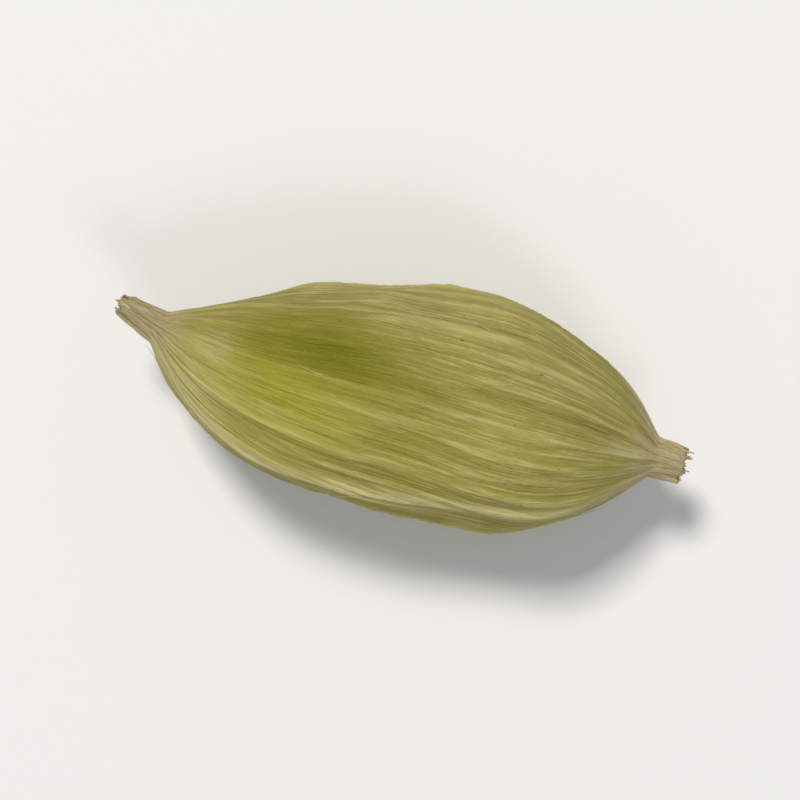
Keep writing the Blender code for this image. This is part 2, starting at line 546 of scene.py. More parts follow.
    def point(self, angle: Array, x: Array, radius: Array) -> Array:
        """Places points round the bent axis.

        Args:
            angle: angles round the pod.
            x: places along the pod.
            radius: distances from the axis.

        Returns:
            Points in the pod's own millimetres, with x, y and z on a new last axis.
        """
        angle, x, radius = np.broadcast_arrays(angle, x, radius)
        turn = angle + self.groove_place(x)
        lean = np.exp((self.bend_place - x) / self.bend_reach)
        bend = self.bend_reach * np.log1p(lean)
        drift = np.maximum(0.0, x - self.fullest_at * self.capsule_length)
        steep = math.tan(self.bend_aside) * lean / (1.0 + lean) + 2.0 * self.drift_curve * drift
        slope = -np.arctan(steep)
        aside = radius * np.sin(turn)
        middle_y = math.tan(self.bend_aside) * bend - self.drift_curve * drift**2
        middle_z = math.tan(self.bend_up) * bend
        return np.stack(
            (x - aside * np.sin(slope), middle_y + aside * np.cos(slope), middle_z + radius * np.cos(turn)),
            axis=-1,
        )

    def fibre_place(self, angle: Array, x: Array) -> Array:
        """Places points for patterns, which follow the fibres and close without a join.

        Args:
            angle: angles round the pod.
            x: places along the pod.

        Returns:
            Millimetres on a circle of the crest radius, and along the pod.
        """
        angle, x = np.broadcast_arrays(angle, x)
        return np.stack((self.crest_radius * np.cos(angle), self.crest_radius * np.sin(angle), x), axis=-1)


@dataclass(frozen=True)
class Home:
    """Where the pod lies in the frame: over its node's box, with its underside on the floor."""

    shift: Array
    edge: float = 0.05  # how softly the husk meets the floor

    @classmethod
    def of(cls, form: PodForm) -> "Home":
        """Finds the shift that lays the plain form over its node.

        Args:
            form: the pod's form.

        Returns:
            The place of the pod.
        """
        around, along = FORM_SAMPLES
        angle = np.linspace(0.0, math.tau, around)[None, :]
        x = np.linspace(-form.beak_length, form.capsule_length + form.stalk_length, along)[:, None]
        points = form.point(angle, x, form.radius(angle, x)).reshape(-1, 3)
        low, high = (np.array(corner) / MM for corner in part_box(NODE))
        middle = (low + high) / 2 - (points.min(0) + points.max(0)) / 2
        return cls(np.array((middle[0], middle[1], high[2] - points[:, 2].max())))

    def settle(self, points: Array) -> Array:
        """Moves points into the frame and flattens what would be under the floor.

        Args:
            points: points in the pod's own millimetres.

        Returns:
            The same points in the frame's millimetres.
        """
        placed = points + self.shift
        height = placed[..., 2] - self.edge / 2
        placed[..., 2] = (height + np.sqrt(height**2 + self.edge**2)) / 2
        return placed


@dataclass(frozen=True)
class Lines:
    """The lines that stand on the husk, from 0 beside them to about 1 on them."""

    crests: Array
    between: Array
    veins: Array


@dataclass(frozen=True)
class DryingRelief:
    """The relief that drying leaves on the husk, finer than the solid's.

    Heights are millimetres. Widths and strays across the pod are angles, for what follows the ribs, and
    ripples are sized in millimetres where the pod is fullest. A span is where a change begins and ends.
    """

    crest_width: float = math.radians(1.3)
    crest_height: float = 0.082
    crest_level: float = 0.75
    crest_change: float = 0.45
    crest_fading: Ripple = Ripple(0.9, 3.0, offset=160.0)
    crest_stray: float = 0.02
    crest_path: Ripple = Ripple(0.8, 1.4, offset=180.0)
    between_width: float = math.radians(1.3)
    between_height: float = 0.056
    between_span: tuple[float, float] = (-0.25, 0.35)
    between_stretch: Ripple = Ripple(1.1, 3.4, offset=240.0)
    between_stray: float = 0.05
    between_path: Ripple = Ripple(1.5, 3.0, offset=200.0)
    panel_width: float = math.radians(5.0)
    panel_depth: float = 0.030
    vein: Ripple = Ripple(0.55, 6.0)
    vein_width: float = 0.10
    vein_height: float = 0.050
    fibre: Ripple = Ripple(0.20, 2.4, offset=40.0)
    fibre_height: float = 0.020
    crease: Ripple = Ripple(0.46, 0.20, offset=80.0)
    crease_width: float = 0.16
    crease_height: float = 0.026
    crease_patch: Ripple = Ripple(2.2, 2.6, 1, 280.0)
    crease_span: tuple[float, float] = (-0.2, 0.35)
    crease_least: float = 0.25
    crease_loss: float = 0.5  # how much weaker a crease is on a crest
    dimple: Ripple = Ripple(1.9, 3.04, offset=120.0)
    dimple_height: float = 0.085
    dimple_fade: float = 1.5
    end_level: float = 0.15  # share of the fine relief that is left at the pod's ends
    end_fade: float = 0.7
    end_fold: Ripple = Ripple(0.85, 1.3, 3, 320.0)
    beak_folds: float = 0.16
    beak_span: tuple[float, float] = (-0.4, 0.9)
    stalk_folds: float = 0.10
    stalk_span: tuple[float, float] = (-0.5, 0.3)

    def crests(self, form: PodForm, angle: Array, x: Array, pattern: Array) -> Array:
        """Gives the sharp line along each rib, fainter here and there.

        Args:
            form: the pod's form.
            angle: angles round the pod.
            x: places along the pod.
            pattern: the fibre place of each point.

        Returns:
            0 beside the lines, and up to about 1 on them.
        """
        strength = self.crest_level + self.crest_change * self.crest_fading.over(pattern)
        stray = self.crest_stray * self.crest_path.over(pattern)
        return form.ribs_by(angle + stray, x, lambda away: peak(away, self.crest_width)) * strength

    def between(self, form: PodForm, angle: Array, x: Array, pattern: Array) -> Array:
        """Gives the lesser ribs, halfway between the solid's, which stop and start.

        Args:
            form: the pod's form.
            angle: angles round the pod.
            x: places along the pod.
            pattern: the fibre place of each point.

        Returns:
            0 beside the lesser ribs, and up to about 1 on them.
        """
        stray = self.between_stray * self.between_path.over(pattern)
        shown = smooth_step(*self.between_span, self.between_stretch.over(pattern))
        halfway = angle + math.pi / form.ribs + stray
        return form.ribs_by(halfway, x, lambda away: peak(away, self.between_width)) * shown

    def lines(self, form: PodForm, angle: Array, x: Array, pattern: Array) -> Lines:
        """Works out every line of the husk.

        Args:
            form: the pod's form.
            angle: angles round the pod.
            x: places along the pod.
            pattern: the fibre place of each point.

        Returns:
            The sharp crests of the ribs, the lesser ribs and the fine veins.
        """
        return Lines(
            self.crests(form, angle, x, pattern),
            self.between(form, angle, x, pattern),
            peak(self.vein.over(pattern), self.vein_width),
        )

    def fibres(self, pattern: Array) -> Array:
        """Returns 0.5 on the crests of single fibres and less between them."""
        return 0.5 - 2.0 * np.abs(self.fibre.over(pattern))

    def creases(self, pattern: Array) -> Array:
        """Gives the small sharp folds that cross the fibres in patches.

        Args:
            pattern: the fibre place of each point.

        Returns:
            0 beside the folds, and up to 1 in them.
        """
        patches = smooth_step(*self.crease_span, self.crease_patch.over(pattern))
        patches = self.crease_least + (1.0 - self.crease_least) * patches
        return peak(self.crease.over(pattern), self.crease_width) * patches

    def height(self, form: PodForm, angle: Array, x: Array, pattern: Array, lines: Lines) -> Array:
        """Adds up the relief, which fades towards the pod's ends.

        Args:
            form: the pod's form.
            angle: angles round the pod.
            x: places along the pod.
            pattern: the fibre place of each point.
            lines: the lines of the husk there.

        Returns:
            The height at each point.
        """
        thin = form.thinness(x)
        panels = np.clip(1.0 - form.ribs_by(angle, x, lambda away: bell(away, self.panel_width)), 0.0, 1.0)
        kept = 1.0 - self.crease_loss * np.clip(lines.crests, 0.0, 1.0)
        fine = self.crest_height * lines.crests + self.between_height * lines.between
        fine = fine - self.panel_depth * panels + self.vein_height * lines.veins
        fine = fine + self.fibre_height * self.fibres(pattern)
        fine = fine - self.crease_height * self.creases(pattern) * kept
        fine = fine * (self.end_level + (1.0 - self.end_level) * thin**self.end_fade)
        return fine + self.dimple_height * self.dimple.over(pattern) * thin**self.dimple_fade

    def end_wrinkles(self, form: PodForm, x: Array, pattern: Array) -> Array:
        """Gives the lengthwise wrinkles of the beak and the stalk.

        Args:
            form: the pod's form.
            x: places along the pod.
            pattern: the fibre place of each point.

        Returns:
            A factor on the radius.
        """
        at_beak = 1.0 - smooth_step(*self.beak_span, x)
        at_stalk = smooth_step(*self.stalk_span, x - form.capsule_length)
        return 1.0 + self.end_fold.over(pattern) * (self.beak_folds * at_beak + self.stalk_folds * at_stalk)


@dataclass(frozen=True)
class Grain:
    """A noise pattern by the real size of its features, across and along the fibres."""

    width: float
    length: float
    detail: float = 3.0
    roughness: float = 0.55
    offset: float = 0.0

    def build(self, tree: bpy.types.NodeTree, place: bpy.types.NodeSocket) -> bpy.types.NodeSocket:
        """Adds the pattern to a tree.

        Args:
            tree: the node tree.
            place: the socket that holds the fibre place.

        Returns:
            The socket of its strength, from 0 to 1.
        """
        scaled = add_node(
            tree,
            "ShaderNodeMapping",
            {
                "Location": (self.offset, self.offset, self.offset),
                "Scale": (1 / self.width, 1 / self.width, 1 / self.length),
            },
            {"Vector": place},
        )
        pattern = add_node(
            tree,
            "ShaderNodeTexNoise",
            {"Scale": 1.0, "Detail": self.detail, "Roughness": self.roughness},
            {"Vector": scaled.outputs["Vector"]},
        )
        return pattern.outputs["Fac"]


@dataclass(frozen=True)
class Stain:
    """One colour laid over those below it, where a pattern and a mask let it through."""

    colour: str
    strength: float
    grain: Grain | None = None
    low: float = 0.4
    high: float = 0.6
    mask: Mask | None = None

    def lay(
        self,
        tree: bpy.types.NodeTree,
        place: bpy.types.NodeSocket,
        below: bpy.types.NodeSocket,
    ) -> bpy.types.NodeSocket:
        """Adds the stain to a tree.

        Args:
            tree: the node tree.
            place: the socket that holds the fibre place.
            below: the colour that it covers.

        Returns:
            The socket of the new colour.
        """
        amount = None
        if self.grain is not None:
            shown = add_node(
                tree,
                "ShaderNodeMapRange",
                {
                    "interpolation_type": "SMOOTHSTEP",
                    "From Min": self.low,
                    "From Max": self.high,
                    "To Max": self.strength,
                },
                {"Value": self.grain.build(tree, place)},
            )
            amount = shown.outputs["Result"]
        if self.mask is not None:
            masked = add_node(tree, "ShaderNodeAttribute", {"attribute_name": self.mask.value})
            weight = add_node(
                tree,
                "ShaderNodeMath",
                {"operation": "MULTIPLY", "use_clamp": True, 1: self.strength},
                {0: masked.outputs["Fac"]},
            )
            if amount is not None:
                weight.inputs[1].default_value = 1.0
                tree.links.new(amount, weight.inputs[1])
            amount = weight.outputs["Value"]
        mixed = add_node(
            tree,
            "ShaderNodeMix",
            {"data_type": "RGBA", MIX_B: linear(self.colour)},
            {MIX_FACTOR: amount, MIX_A: below},
        )
        return mixed.outputs[MIX_RESULT]


@dataclass(frozen=True)
class DriedHusk:
    """Dried cardamom husk: a thin fibrous rind, dried whole and rubbed in handling.

    It is matt between its ribs with a faint waxy gleam on them. Green lasts longest in the hollows and
    fades to straw where the rind is rubbed, and small bruises dry brown. Its colour also holds painted
    shade: darker olive in the valleys and grooves, a deep olive patch over the groove near the beak, and
    greyer, darker patches on the upper side and by the stalk. The pale seam is partly a painted highlight.
    Its real fibres are about 0.03 mm wide, too fine to show, so their patterns are drawn two to four times
    as wide.
    """

    base: str = "#9C9343"
    stains: tuple[Stain, ...] = (
        # Broad drifts of straw and of olive
        Stain("#AA9B4E", 0.65, Grain(2.4, 4.5), 0.42, 0.62),
        Stain("#898A3B", 0.45, Grain(1.7, 4.0, offset=7.0), 0.50, 0.68),
        # Painted shade: darker olive in the valleys between the ribs and in the grooves, partly greener rind
        # there, and greyer, darker patches on the upper side and by the stalk
        Stain("#746F22", 0.80, Grain(0.8, 3.0, offset=5.0), 0.20, 0.50, Mask.HOLLOW_SHADE),
        Stain("#857C4C", 0.80, Grain(1.4, 3.5, offset=17.0), 0.15, 0.50, Mask.DULL_SHADE),
        # Mottling, then pale and dark fibres
        Stain("#8A833F", 0.40, Grain(0.35, 0.5, 4.0, 0.6, 3.0), 0.48, 0.66),
        Stain("#C8BA7A", 0.50, Grain(0.085, 1.7, 4.0, 0.62, 9.0), 0.50, 0.62),
        Stain("#6A6728", 0.50, Grain(0.075, 2.1, 4.0, 0.62, 71.0), 0.52, 0.64),
        # Green that is left, with its own fibres
        Stain("#8F8F06", 0.78, Grain(1.6, 3.4, offset=13.0), 0.08, 0.40, Mask.GREEN),
        Stain("#B0AB42", 0.50, Grain(0.10, 2.0, 4.0, 0.62, 81.0), 0.50, 0.62, Mask.GREEN),
        Stain("#6F7008", 0.50, Grain(0.09, 2.3, 4.0, 0.62, 87.0), 0.52, 0.64, Mask.GREEN),
        # Straw on the rubbed ribs and the pale shoulder by the beak, and a pale seam that is partly a painted
        # highlight along the lower edge
        Stain("#C8BB7E", 0.85, Grain(0.6, 3.0, offset=21.0), 0.20, 0.50, Mask.RIB),
        Stain("#CFC58F", 0.80, Grain(0.13, 2.4, 4.0, 0.6, 24.0), 0.34, 0.60, Mask.SEAM_AND_HIGHLIGHT),
        # Painted shade over the sunken groove near the beak, deep olive and partly the green that is left
        # there, with its own fibres
        Stain("#6D6A00", 0.92, Grain(0.4, 2.6, offset=15.0), 0.05, 0.40, Mask.SHADE),
        Stain("#8C8626", 0.36, Grain(0.10, 1.8, 4.0, 0.62, 91.0), 0.52, 0.64, Mask.SHADE),
        # Brown bruises and small dark specks
        Stain("#7D6A34", 0.45, Grain(0.7, 1.3, 5.0, 0.65, 31.0), 0.66, 0.76),
        Stain("#54431F", 0.80, Grain(0.15, 0.26, 3.0, 0.6, 37.0), 0.70, 0.76),
        # Dry beak and stalk, and the dark inside of the beak
        Stain("#CDBE92", 0.90, Grain(0.8, 1.6, 4.0, offset=43.0), 0.05, 0.35, Mask.DRY),
        Stain("#8A6D44", 0.42, Grain(0.35, 0.9, 4.0, 0.6, 47.0), 0.50, 0.66, Mask.DRY),
        Stain("#4A3418", 0.90, None, mask=Mask.INSIDE),
    )
    gleam: Grain = Grain(0.35, 1.6, 4.0, offset=50.0)
    gleam_span: tuple[float, float] = (0.3, 0.7)
    roughness: tuple[float, float] = (0.50, 0.72)
    fibre_bump: Grain = Grain(0.09, 1.6, 4.0, 0.6, 60.0)
    fibre_depth: float = 0.075
    pore_bump: Grain = Grain(0.11, 0.16, 3.0, 0.6, 66.0)
    pore_depth: float = 0.018
    ior: float = 1.45
    gloss_level: float = 0.30  # fibre ends scatter most of the shine
    glow: float = 0.04  # light that the thin rind lets through
    glow_depth: float = 0.35
    glow_colour: tuple[float, float, float] = (1.0, 0.75, 0.25)

    def build(self) -> bpy.types.Material:
        """Makes the husk's material.

        Returns:
            The material.
        """
        material, tree = new_material("dried_husk_surface")
        place = add_node(tree, "ShaderNodeAttribute", {"attribute_name": PLACE}).outputs["Vector"]
        colour = add_node(tree, "ShaderNodeRGB")
        colour.outputs[0].default_value = linear(self.base)
        surface = colour.outputs[0]
        for stain in self.stains:
            surface = stain.lay(tree, place, surface)
        rough = add_node(
            tree,
            "ShaderNodeMapRange",
            {
                "From Min": self.gleam_span[0],
                "From Max": self.gleam_span[1],
                "To Min": self.roughness[0],
                "To Max": self.roughness[1],
            },
            {"Value": self.gleam.build(tree, place)},
        )
        normal = None
        for pattern, depth in ((self.pore_bump, self.pore_depth), (self.fibre_bump, self.fibre_depth)):
            bump = add_node(
                tree,
                "ShaderNodeBump",
                {"Distance": depth * MM, "Strength": 1.0},
                {"Height": pattern.build(tree, place)},
            )
            if normal is not None:
                tree.links.new(normal, bump.inputs["Normal"])
            normal = bump.outputs["Normal"]
        shader = add_node(
            tree,
            "ShaderNodeBsdfPrincipled",
            {
                "IOR": self.ior,
                "Specular IOR Level": self.gloss_level,
                "Subsurface Weight": self.glow,
                "Subsurface Scale": self.glow_depth * MM,
                "Subsurface Radius": self.glow_colour,
            },
            {"Base Color": surface, "Roughness": rough.outputs["Result"], "Normal": normal},
        )
        add_node(tree, "ShaderNodeOutputMaterial", None, {"Surface": shader.outputs["BSDF"]})
        return material


@dataclass(frozen=True)
class StrawFibre:
    """Bare plant fibre: what is left of the flower and the stalk, dried in air and torn.

    It is paler than the husk, quite matt, and darkens to brown towards its torn tips.
    """

    name: str
    pale: str
    brown: str
    streak: Grain = Grain(0.05, 0.6, 3.0)
    streak_span: tuple[float, float] = (0.45, 0.7)
    browning: float = 0.5
    tip_browning: float = 0.8
    roughness: float = 0.8
    ior: float = 1.45

    def build(self) -> bpy.types.Material:
        """Makes the fibre's material.

        Returns:
            The material.
        """
        material, tree = new_material(self.name)
        place = add_node(tree, "ShaderNodeAttribute", {"attribute_name": PLACE}).outputs["Vector"]
        colour = add_node(tree, "ShaderNodeRGB")
        colour.outputs[0].default_value = linear(self.pale)
        surface = colour.outputs[0]
        for stain in (
            Stain(self.brown, self.browning, self.streak, *self.streak_span),
            Stain(self.brown, self.tip_browning, None, mask=Mask.DRY),
        ):
            surface = stain.lay(tree, place, surface)
        shader = add_node(
            tree,
            "ShaderNodeBsdfPrincipled",
            {"IOR": self.ior, "Roughness": self.roughness},
            {"Base Color": surface},
        )
        add_node(tree, "ShaderNodeOutputMaterial", None, {"Surface": shader.outputs["BSDF"]})
        return material


@dataclass
class Skin:
    """The husk's points in rows, one row for each ring, with what is known about each point."""

    angle: Array
    x: Array
    share: Array
    inset: Array
    sink: Array
    tear: Array
    pattern: Array
    lines: Lines
    radius: Array


@dataclass(frozen=True)
class Patch:
    """A soft-edged patch of colour on the husk.

    Its place and reach along the pod are shares of the capsule's length. Its turn and width go round the
    pod, counted from the top, or from the first groove for a patch that keeps to a lobe. The lean is how
    far the turn would change over the whole capsule.
    """

    place: float
    reach: float
    turn: float
    width: float
    weight: float = 1.0
    lean: float = 0.0
    from_top: bool = True

    def over(self, share: Array, turn: Array, angle: Array) -> Array:
        """Gives the strength of the patch.

        Args:
            share: places along the pod, as shares of the capsule's length.
            turn: turns from the top.
            angle: angles from the first groove.

        Returns:
            The weight in the middle of the patch, falling to 0 away from it.
        """
        middle = self.turn + self.lean * (share - self.place)
        across = bell(turn_between(turn if self.from_top else angle, middle), self.width)
        return self.weight * bell(share - self.place, self.reach) * across


@dataclass(frozen=True)
class WearAndPaintedShade:
    """Where the husk has kept its green, been rubbed pale or dried out, and where shade is painted into its
    colour.

    Spans are millimetres along the pod, from the root of the beak or from the root of the stalk.
    """

    # Painted shade: a deep olive patch over the groove near the beak, leaning along it, partly the green that
    # is left there
    shade: tuple[Patch, ...] = (
        Patch(0.345, 0.19, math.radians(6.795), math.radians(21), lean=math.radians(-57), from_top=False),
    )
    # Painted shade: greyer, darker olive on the upper side and by the stalk
    dull_shade: tuple[Patch, ...] = (
        Patch(0.36, 0.30, math.radians(62), math.radians(34)),
        Patch(0.78, 0.10, math.radians(22), math.radians(18), 0.5, from_top=False),
    )
    green: tuple[Patch, ...] = (
        Patch(0.27, 0.19, math.radians(8), math.radians(44)),
        Patch(0.40, 0.25, 2.2, 0.5, 0.7, from_top=False),
        Patch(0.40, 0.25, 4.1, 0.5, 0.7, from_top=False),
    )
    pale: tuple[Patch, ...] = (
        Patch(0.09, 0.09, math.radians(-46), math.radians(30)),
        Patch(0.11, 0.05, math.radians(15), math.radians(18), 0.6),
    )
    between_weight: float = 0.8
    vein_weight: float = 0.3
    rib_loss: tuple[float, float] = (0.55, 0.30)  # how much the painted groove shade and the green hide of the ribs
    shade_loss: float = 0.35  # how much the ribs hide of the painted groove shade
    # Painted shade in the valleys between the ribs and in the grooves, partly greener rind there
    valley: float = 0.4
    valley_fade: float = 0.5
    valley_loss: float = 0.6
    groove: float = 1.4
    beak_span: tuple[float, float] = (-0.3, 1.1)
    beak_tear: float = 0.25
    stalk_span: tuple[float, float] = (-1.5, 0.25)
    stalk_streak: Ripple = Ripple(0.7, 5.0, offset=360.0)
    stalk_streaks: float = 0.9
    hollow_dark: float = 0.8
    pith_dark: float = 0.75
    pith_share: float = 0.7  # share of the stub's radius that is pith

    def masks(self, form: PodForm, skin: Skin) -> dict[str, Array]:
        """Works out what the husk's colours follow.

        Args:
            form: the pod's form.
            skin: the shaped skin.

        Returns:
            Values for each point by the name of their attribute.
        """
        turn = skin.angle + form.groove_place(skin.x)
        share = skin.x / form.capsule_length
        shade, dull_shade, green, pale = (
            sum(patch.over(share, turn, skin.angle) for patch in patches)
            for patches in (self.shade, self.dull_shade, self.green, self.pale)
        )
        lesser = self.between_weight * skin.lines.between + self.vein_weight * skin.lines.veins
        lines = np.clip(skin.lines.crests + lesser, 0.0, 1.0)
        from_shade, from_green = self.rib_loss
        ribs = lines * (1.0 - from_shade * shade) * (1.0 - from_green * np.clip(green, 0.0, 1.0))
        # painted shade between the ribs, fading towards the ends
        valley = np.clip(1.0 - form.rib_share(skin.angle, skin.x) - self.valley_loss * lines, 0.0, 1.0)
        valley = self.valley * form.thinness(skin.x) ** self.valley_fade * valley
        # the grooves' depth, for their painted shade
        groove = form.groove_depth(skin.angle, skin.x) / max(depth for _, _, depth in form.groove_dips)
        dry = 1.0 - smooth_step(*self.beak_span, skin.x - self.beak_tear * skin.tear)
        streaks = self.stalk_streaks * self.stalk_streak.over(skin.pattern)
        dry = dry + smooth_step(*self.stalk_span, skin.x - form.capsule_length + streaks)
        pith = skin.sink * (skin.share < self.pith_share)
        values = {
            Mask.RIB: ribs,
            Mask.HOLLOW_SHADE: valley + self.groove * groove,
            Mask.SHADE: shade * (1.0 - self.shade_loss * lines),
            Mask.DULL_SHADE: dull_shade,
            # the pale seam is partly a painted highlight along the lower edge
            Mask.SEAM_AND_HIGHLIGHT: form.seam_share(turn, skin.x) + pale,
            Mask.GREEN: green,
            Mask.DRY: dry,
            Mask.INSIDE: self.hollow_dark * (skin.inset > 0) + self.pith_dark * pith,
        }
        found: dict[str, Array] = {PLACE: skin.pattern}
        for mask, made in values.items():
            found[mask.value] = np.clip(np.broadcast_to(made, skin.radius.shape), 0.0, 1.0)
        return found


@dataclass
class Husk:
    """The pod's whole skin: capsule, hollow beak and stalk stub in one closed mesh."""

    form: PodForm
    home: Home
    relief: DryingRelief = field(default_factory=DryingRelief)
    wear_and_painted_shade: WearAndPaintedShade = field(default_factory=WearAndPaintedShade)
    finish: DriedHusk = field(default_factory=DriedHusk)
    columns: int = 324
    capsule_rings: int = 236
    beak_rings: int = 20
    stalk_rings: int = 12
    even_spacing: float = 0.5  # share of the rings' spacing that is even; the rest is closer at the ends
    beak_wall: float = 0.05
    beak_hollow: float = 0.75  # depth of the hollow inside the beak
    tear: Ripple = Ripple(1.3, 1.0, 3, 11.0)
    rim_tear: float = 0.30  # how much the beak's torn rim varies, as a share of its length
    stub_tear: float = 0.22
    pith: Ripple = Ripple(1 / 9, 1 / 9)
    pith_depth: float = 0.10
    pith_rough: float = 0.10
    cap_shares: tuple[float, ...] = (0.0, 0.22, 0.45, 0.66, 0.82, 0.93)
    cap_power: int = 4  # how flat the stub's sunken middle is

    def rings(self) -> tuple[Array, Array, Array, Array]:
        """Lists the rings of the skin, from the floor of the beak's hollow to the middle of the stub.

        Returns:
            For each ring its place along the pod, share of the radius, inset from the outer skin, and
            how far it sinks into the stub.
        """
        form = self.form
        hollow_floor = -form.beak_length + self.beak_hollow
        inner = np.linspace(hollow_floor, -form.beak_length, self.beak_rings // 2)
        outer = np.linspace(-form.beak_length, 0.0, self.beak_rings, endpoint=False)
        even = np.linspace(0.0, 1.0, self.capsule_rings)
        closer = (1.0 - np.cos(math.pi * even)) / 2
        capsule = form.capsule_length * (self.even_spacing * even + (1.0 - self.even_spacing) * closer)
        steps = np.arange(1, self.stalk_rings + 1) / self.stalk_rings
        stalk = form.capsule_length + form.stalk_length * steps
        caps = np.array(self.cap_shares)
        floor, end = np.full(len(caps), hollow_floor), np.full(len(caps), stalk[-1])
        place = np.concatenate((floor, inner, outer, capsule, stalk, end))
        share = np.ones(len(place))
        share[: len(caps)] = caps
        share[-len(caps) :] = caps[::-1]
        inset = np.zeros(len(place))
        inset[: len(caps) + len(inner)] = self.beak_wall
        sink = np.zeros(len(place))
        sink[-len(caps) :] = 1.0 - caps[::-1] ** self.cap_power
        return place, share, inset, sink

    def shape(self) -> Skin:
        """Works out the skin with all its relief.

        Returns:
            The skin.
        """
        form, relief = self.form, self.relief
        place, share, inset, sink = (values[:, None] for values in self.rings())
        angle = (math.tau * np.arange(self.columns) / self.columns)[None, :]
        angle, place = np.broadcast_arrays(angle, place)
        pattern = form.fibre_place(angle, place)
        tear = self.tear.over(pattern * (1.0, 1.0, 0.0))
        torn = 1.0 + self.rim_tear * tear * smooth_step(0.0, form.beak_length, -place)
        beyond = np.maximum(0.0, place - form.capsule_length)
        x = np.where(place < 0.0, place * torn, place + self.stub_tear * tear * beyond)
        pith = self.pith.over(pattern * share[..., None])
        x = x - sink * (self.pith_depth - self.pith_rough * pith)
        lines = relief.lines(form, angle, x, pattern)
        outer = form.radius(angle, x) * relief.end_wrinkles(form, x, pattern)
        radius = (outer + relief.height(form, angle, x, pattern, lines) - inset) * share
        return Skin(angle, x, share, inset, sink, tear, pattern, lines, radius)

    def build(self) -> bpy.types.Object:
        """Builds the husk.

        Returns:
            The piece.
        """
        skin = self.shape()
        points = self.home.settle(self.form.point(skin.angle, skin.x, skin.radius))
        rows, columns = skin.radius.shape
        # The first and the last row have no radius, so each is one point with a fan round it.
        faces = grid_faces(rows - 2, columns, 1, True)
        last = 1 + (rows - 2) * columns
        for column in range(columns):
            after = (column + 1) % columns
            faces.append((0, 1 + after, 1 + column))
            faces.append((last, last - columns + column, last - columns + after))
        piece = new_object("pod_husk", close_ends(points), faces)
        found = self.wear_and_painted_shade.masks(self.form, skin)
        mark(piece, {name: close_ends(values) for name, values in found.items()})
        piece.data.materials.append(self.finish.build())
        return piece


def close_ends(rows: Array) -> Array:
    """Lists a skin's values point by point, with its first and last row as one point each.

    Args:
        rows: the values in rows.

    Returns:
        The values in one list.
    """
    inner = rows[1:-1].reshape(-1, *rows.shape[2:])
    return np.concatenate((rows[0, :1], inner, rows[-1, :1]))


def tapered_tube(path: Array, radii: Array, sides: int, first: int) -> tuple[Array, list]:
    """Makes a closed tube along a path.

    Args:
        path: points in order, one row each.
        radii: the radius at each point.
        sides: how many sides the tube has.
        first: number of the first vertex.

    Returns:
        The points and the faces.
    """
    along = np.gradient(path, axis=0)
    along /= np.linalg.norm(along, axis=1)[:, None]
    aside = np.cross(along, ACROSS)
    aside /= np.linalg.norm(aside, axis=1)[:, None]
    upward = np.cross(aside, along)
    turn = (math.tau * np.arange(sides) / sides)[None, :, None]
    outward = np.cos(turn) * aside[:, None] + np.sin(turn) * upward[:, None]
    rings = path[:, None] + radii[:, None, None] * outward
    faces = grid_faces(len(path), sides, first, True)
    faces.append(tuple(first + side for side in reversed(range(sides))))
    faces.append(tuple(first + (len(path) - 1) * sides + side for side in range(sides)))
    return rings.reshape(-1, 3), faces


@dataclass
class Bundle:
    """Gathers the fibres or shreds of one piece, with what its material reads at each point."""

    points: list[Array] = field(default_factory=list)
    faces: list = field(default_factory=list)
    browning: list[Array] = field(default_factory=list)
    places: list[Array] = field(default_factory=list)

    def count(self) -> int:
        """Returns how many points are gathered."""
        return sum(len(points) for points in self.points)

    def add(self, points: Array, faces: list, browning: Array, places: Array) -> None:
        """Adds one fibre or shred.

        Args:
            points: its points, one row each.
            faces: its faces, by the numbers that its points get in the piece.
            browning: how brown each point is, from 0 to 1.
            places: the fibre place of each point.
        """
        self.points.append(points)
        self.faces += faces
        self.browning.append(browning)
        self.places.append(places)

    def build(self, name: str, finish: StrawFibre) -> bpy.types.Object:
        """Makes the piece.

        Args:
            name: the piece's name.
            finish: its finish.

        Returns:
            The piece.
        """
        piece = new_object(name, np.concatenate(self.points), self.faces)
        mark(piece, {Mask.DRY.value: np.concatenate(self.browning), PLACE: np.concatenate(self.places)})
        piece.data.materials.append(finish.build())
        return piece


@dataclass
class LooseFibres:
    """Husk fibres that handling has lifted off the ribs at one end."""

    form: PodForm
    home: Home
    finish: StrawFibre = StrawFibre("lifted_fibre", "#BFB27A", "#9C8A55")
    count: int = 16
    turns: tuple[float, float] = (-2.2, 2.2)
    starts: tuple[float, float] = (0.08, 0.9)
    lengths: tuple[float, float] = (0.5, 1.3)
    radius: float = 0.015
    taper: float = 0.75
    lift: tuple[float, float] = (0.05, 0.22)
    lift_power: float = 1.8
    curl: float = 0.07
    root_depth: float = 0.02
    tip_brown: float = 0.6
    seed: int = 5
    steps: int = 9
    sides: int = 5

    def build(self) -> bpy.types.Object:
        """Builds the fibres in one piece.

        Returns:
            The piece.
        """
        form = self.form
        draw = random.Random(self.seed)
        share = np.linspace(0.0, 1.0, self.steps)
        bundle = Bundle()
        for _ in range(self.count):
            turn = draw.uniform(*self.turns)
            start = draw.uniform(*self.starts) * form.capsule_length
            length = draw.uniform(*self.lengths) * draw.choice((-1, 1))
            curl = draw.uniform(-self.curl, self.curl)
            lift = draw.uniform(*self.lift)
            x = start + length * share
            rib = round((turn - form.groove_place(start)) / math.tau * form.ribs - 0.5)
            angle = form.rib_angle(rib % form.ribs) + curl * share**2
            radius = form.radius(angle, x) - self.root_depth + lift * share**self.lift_power
            path = form.point(angle, x, radius) + self.home.shift
            radii = self.radius * (1.0 - self.taper * share)
            tube, faces = tapered_tube(path, radii, self.sides, bundle.count())
            browning = np.repeat(share**2 * self.tip_brown, self.sides)
            bundle.add(tube, faces, browning, np.repeat(form.fibre_place(angle, x), self.sides, axis=0))
        return bundle.build("loose_fibres", self.finish)


